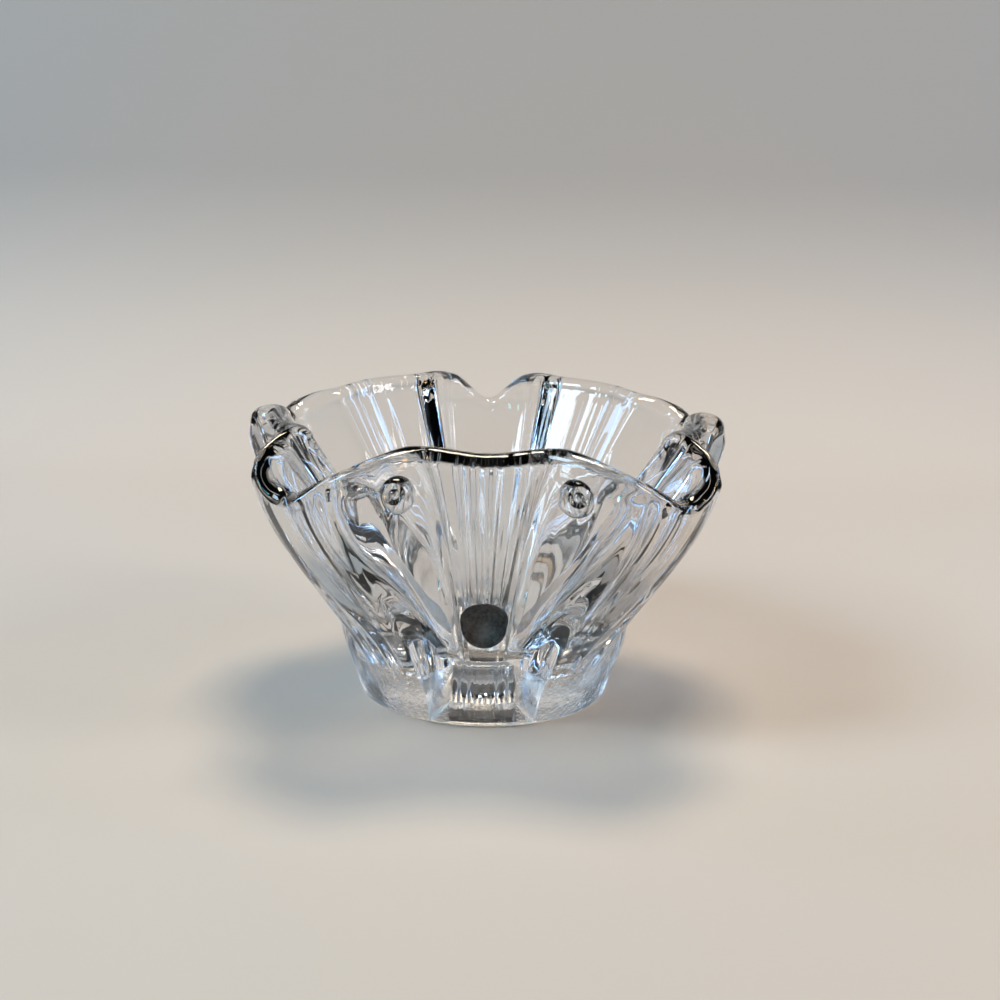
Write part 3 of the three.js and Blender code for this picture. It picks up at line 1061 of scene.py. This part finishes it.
def two_tones(tree: Tree, tone: Term, spread: tuple[float, float],
              colours: tuple[tuple[float, ...], tuple[float, ...]]) -> Socket:
    """Goes from one colour to another as a value rises.

    Args:
        tree: The material's tree.
        tone: The value.
        spread: Where the first colour ends and where the second is full.
        colours: The two colours.

    Returns:
        The colour socket.
    """
    ramp = tree.nodes.new("ShaderNodeValToRGB")
    for element, position, colour in zip(ramp.color_ramp.elements, spread, colours):
        element.position, element.color = position, colour
    plug(tree, tone, ramp.inputs[0])
    return ramp.outputs[0]


def bumped(tree: Tree, height: Socket, depth: float, normal: Socket | None = None) -> Socket:
    """Raises a surface in its shading.

    Args:
        tree: The material's tree.
        height: The pattern that is raised.
        depth: How far, in metres.
        normal: The surface that it is raised from, if not the bare one.

    Returns:
        The normal socket.
    """
    bump = tree.nodes.new("ShaderNodeBump")
    bump.inputs["Strength"].default_value = 1.0
    bump.inputs["Distance"].default_value = depth
    tree.links.new(height, bump.inputs["Height"])
    if normal is not None:
        tree.links.new(normal, bump.inputs["Normal"])
    return bump.outputs[0]


def grain_group() -> Tree:
    """Builds, once, the shader group of fine variation that all the finishes share.

    Returns:
        The group, with inputs Vector, Scale, Detail, Low and High and the output Value.
    """
    name = "fine_variation"
    if name in bpy.data.node_groups:
        return bpy.data.node_groups[name]
    tree = bpy.data.node_groups.new(name, "ShaderNodeTree")
    tree.interface.new_socket("Vector", in_out="INPUT", socket_type="NodeSocketVector")
    for label in ("Scale", "Detail", "Low", "High"):
        tree.interface.new_socket(label, in_out="INPUT", socket_type="NodeSocketFloat")
    tree.interface.new_socket("Value", in_out="OUTPUT", socket_type="NodeSocketFloat")
    entry = tree.nodes.new("NodeGroupInput")
    noise = tree.nodes.new("ShaderNodeTexNoise")
    for label in ("Vector", "Scale", "Detail"):
        tree.links.new(entry.outputs[label], noise.inputs[label])
    spread = tree.nodes.new("ShaderNodeMapRange")
    tree.links.new(noise.outputs[0], spread.inputs["Value"])
    tree.links.new(entry.outputs["Low"], spread.inputs["To Min"])
    tree.links.new(entry.outputs["High"], spread.inputs["To Max"])
    leave = tree.nodes.new("NodeGroupOutput")
    tree.links.new(spread.outputs["Result"], leave.inputs["Value"])
    return tree


def flow_group() -> Tree:
    """Builds, once, the shader group of streaks that run down the glass where it was pulled.

    Returns:
        The group, with inputs Vector, Count and Stretch and the output Value.
    """
    name = "flow_lines"
    if name in bpy.data.node_groups:
        return bpy.data.node_groups[name]
    tree = bpy.data.node_groups.new(name, "ShaderNodeTree")
    tree.interface.new_socket("Vector", in_out="INPUT", socket_type="NodeSocketVector")
    for label in ("Count", "Stretch"):
        tree.interface.new_socket(label, in_out="INPUT", socket_type="NodeSocketFloat")
    tree.interface.new_socket("Value", in_out="OUTPUT", socket_type="NodeSocketFloat")
    entry = tree.nodes.new("NodeGroupInput")
    level = tree.nodes.new("ShaderNodeVectorMath")
    level.operation = "MULTIPLY"
    level.inputs[1].default_value = (1.0, 1.0, 0.0)
    tree.links.new(entry.outputs["Vector"], level.inputs[0])
    around = tree.nodes.new("ShaderNodeVectorMath")
    around.operation = "NORMALIZE"
    tree.links.new(level.outputs[0], around.inputs[0])
    spread = tree.nodes.new("ShaderNodeVectorMath")
    spread.operation = "SCALE"
    tree.links.new(around.outputs[0], spread.inputs[0])
    tree.links.new(entry.outputs["Count"], spread.inputs["Scale"])
    drawn = tree.nodes.new("ShaderNodeVectorMath")
    drawn.operation = "SCALE"
    tree.links.new(entry.outputs["Vector"], drawn.inputs[0])
    tree.links.new(entry.outputs["Stretch"], drawn.inputs["Scale"])
    both = tree.nodes.new("ShaderNodeVectorMath")
    tree.links.new(spread.outputs[0], both.inputs[0])
    tree.links.new(drawn.outputs[0], both.inputs[1])
    noise = tree.nodes.new("ShaderNodeTexNoise")
    noise.inputs["Scale"].default_value = 1.0
    noise.inputs["Detail"].default_value = 1.5
    noise.inputs["Distortion"].default_value = 0.4
    tree.links.new(both.outputs[0], noise.inputs["Vector"])
    leave = tree.nodes.new("NodeGroupOutput")
    tree.links.new(noise.outputs[0], leave.inputs["Value"])
    return tree


def shared(tree: Tree, group: Tree, where: Socket, **values: float) -> Socket:
    """Places a shared group in a material.

    Args:
        tree: The material's tree.
        group: The shared group.
        where: The coordinates.
        values: The group's other inputs by name.

    Returns:
        The output socket.
    """
    node = tree.nodes.new("ShaderNodeGroup")
    node.node_tree = group
    tree.links.new(where, node.inputs["Vector"])
    for label, value in values.items():
        node.inputs[label].default_value = value
    return node.outputs["Value"]


def grain(tree: Tree, where: Socket, scale: float, detail: float, low: float, high: float) -> Socket:
    """Places the shared fine variation in a material.

    Args:
        tree: The material's tree.
        where: The coordinates.
        scale: Features per metre.
        detail: Octaves.
        low: The lowest value.
        high: The highest value.

    Returns:
        The output socket.
    """
    return shared(tree, grain_group(), where, Scale=scale, Detail=detail, Low=low, High=high)


class Tone(Enum):
    """Colours of the soft boxes."""

    NEUTRAL = (1.0, 1.0, 1.0)
    COOL = (0.62, 0.82, 1.0)
    BLUE = (0.3, 0.58, 1.0)
    CYAN = (0.2, 0.85, 1.0)
    AMBER = (1.0, 0.6, 0.25)
    WARM = (1.0, 0.86, 0.66)


@dataclass(frozen=True)
class SoftBox:
    """A rectangular soft light that points at the bowl."""

    name: str
    place: tuple[float, float, float]
    width: float
    height: float
    power: float
    tone: Tone

    def build(self, aim: Vector) -> None:
        """Adds the light, turned towards a point."""
        light = bpy.data.lights.new(self.name, "AREA")
        light.shape = "RECTANGLE"
        light.size, light.size_y = self.width, self.height
        light.energy, light.color = self.power, self.tone.value
        lamp = bpy.data.objects.new(self.name, light)
        lamp.location = self.place
        lamp.rotation_mode = "QUATERNION"
        lamp.rotation_quaternion = (aim - Vector(self.place)).to_track_quat("-Z", "Y")
        bpy.context.scene.collection.objects.link(lamp)


@dataclass
class Studio:
    """The pale sweep, the soft boxes and the surrounding grey."""

    finish: PaperFinish = field(default_factory=PaperFinish)
    half_widths: tuple[float, float] = (0.3, 0.5)
    front: float = -0.3
    back: float = 0.42
    bend: float = 0.22
    top: float = 0.42
    steps: int = 24
    gap: float = 0.4 * MM
    surround: tuple[float, float, float, float] = (0.02, 0.022, 0.026, 1.0)
    aim: tuple[float, float, float] = (0.0, 0.0, 0.06)
    boxes: tuple[SoftBox, ...] = (
        SoftBox("key", (-1.3, -0.7, 1.5), 0.7, 0.9, 28.0, Tone.COOL),
        SoftBox("fill", (1.5, -0.4, 0.9), 0.4, 0.9, 10.0, Tone.NEUTRAL),
        SoftBox("top", (0.1, 0.5, 1.9), 0.6, 0.6, 24.0, Tone.WARM),
        SoftBox("left_strip", (-0.95, 0.35, 0.5), 0.1, 0.9, 3.0, Tone.BLUE),
        SoftBox("right_strip", (0.95, 0.2, 0.45), 0.1, 0.9, 3.0, Tone.BLUE),
        SoftBox("front_left", (-0.55, -0.75, 0.55), 0.1, 0.3, 0.7, Tone.CYAN),
        SoftBox("front_right", (0.6, -0.7, 0.5), 0.06, 0.3, 0.8, Tone.AMBER),
    )

    def build(self) -> bpy.types.Object:
        """Builds the sweep, the lights and the surround.

        Returns:
            The sweep.
        """
        path = [(self.front, -self.gap)]
        for step in range(self.steps + 1):
            turn = math.pi / 2 * step / self.steps
            path.append((self.back + self.bend * math.sin(turn), self.bend * (1 - math.cos(turn)) - self.gap))
        path.append((self.back + self.bend, self.top))
        near, far = self.half_widths
        run = self.back + self.bend - self.front
        halves = [near + (far - near) * (y - self.front) / run for y, _ in path]
        points = [(x, y, z) for (y, z), half in zip(path, halves) for x in (-half, half)]
        faces = [(2 * i, 2 * i + 1, 2 * i + 3, 2 * i + 2) for i in range(len(path) - 1)]
        mesh = bpy.data.meshes.new("sweep")
        mesh.from_pydata(points, [], faces)
        mesh.shade_smooth()
        mesh.materials.append(self.finish.material())
        sweep = bpy.data.objects.new("sweep", mesh)
        bpy.context.scene.collection.objects.link(sweep)
        for box in self.boxes:
            box.build(Vector(self.aim))
        world = bpy.data.worlds.new("surround")
        bpy.context.scene.world = world
        world.use_nodes = True
        world.node_tree.nodes["Background"].inputs["Color"].default_value = self.surround
        return sweep


@dataclass(frozen=True)
class Viewpoint:
    """The camera, fitted to the outline of the bowl in the photograph."""

    place: tuple[float, float, float] = (0.0, -702 * MM, 261.5 * MM)
    down: float = math.radians(13.742)
    right: float = math.radians(0.519)
    roll: float = math.radians(1.2)
    lens: float = 1.546
    sensor: float = 36.0

    def build(self) -> bpy.types.Object:
        """Adds the camera.

        Returns:
            The camera object.
        """
        data = bpy.data.cameras.new("camera")
        data.sensor_width, data.lens = self.sensor, self.sensor * self.lens
        data.clip_start = 0.01
        camera = bpy.data.objects.new("camera", data)
        tilt = Matrix.Rotation(math.pi / 2 - self.down, 4, "X")
        turn = Matrix.Rotation(-self.right, 4, "Z") @ tilt @ Matrix.Rotation(self.roll, 4, "Z")
        camera.matrix_world = Matrix.Translation(self.place) @ turn
        bpy.context.scene.collection.objects.link(camera)
        bpy.context.scene.camera = camera
        return camera


def main() -> None:
    """Builds the bowl, its pad and the studio in order, and reports each piece."""
    logging.basicConfig(level=logging.INFO, format="%(name)s: %(message)s")
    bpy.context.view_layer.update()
    Viewpoint().build()
    pieces = (("crystal_bowl", "crystal", CrystalBowl()), ("felt_pad", "felt", FeltPad()))
    for node, slot, maker in pieces:
        piece = maker.build()
        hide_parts(node)
        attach(piece, ROOT_BODY)
        LOG.info("%s: %d faces", piece.name, len(piece.data.polygons))
    Studio().build()
    bpy.context.scene.view_settings.view_transform = "Standard"


if __name__ == "__main__":
    main()
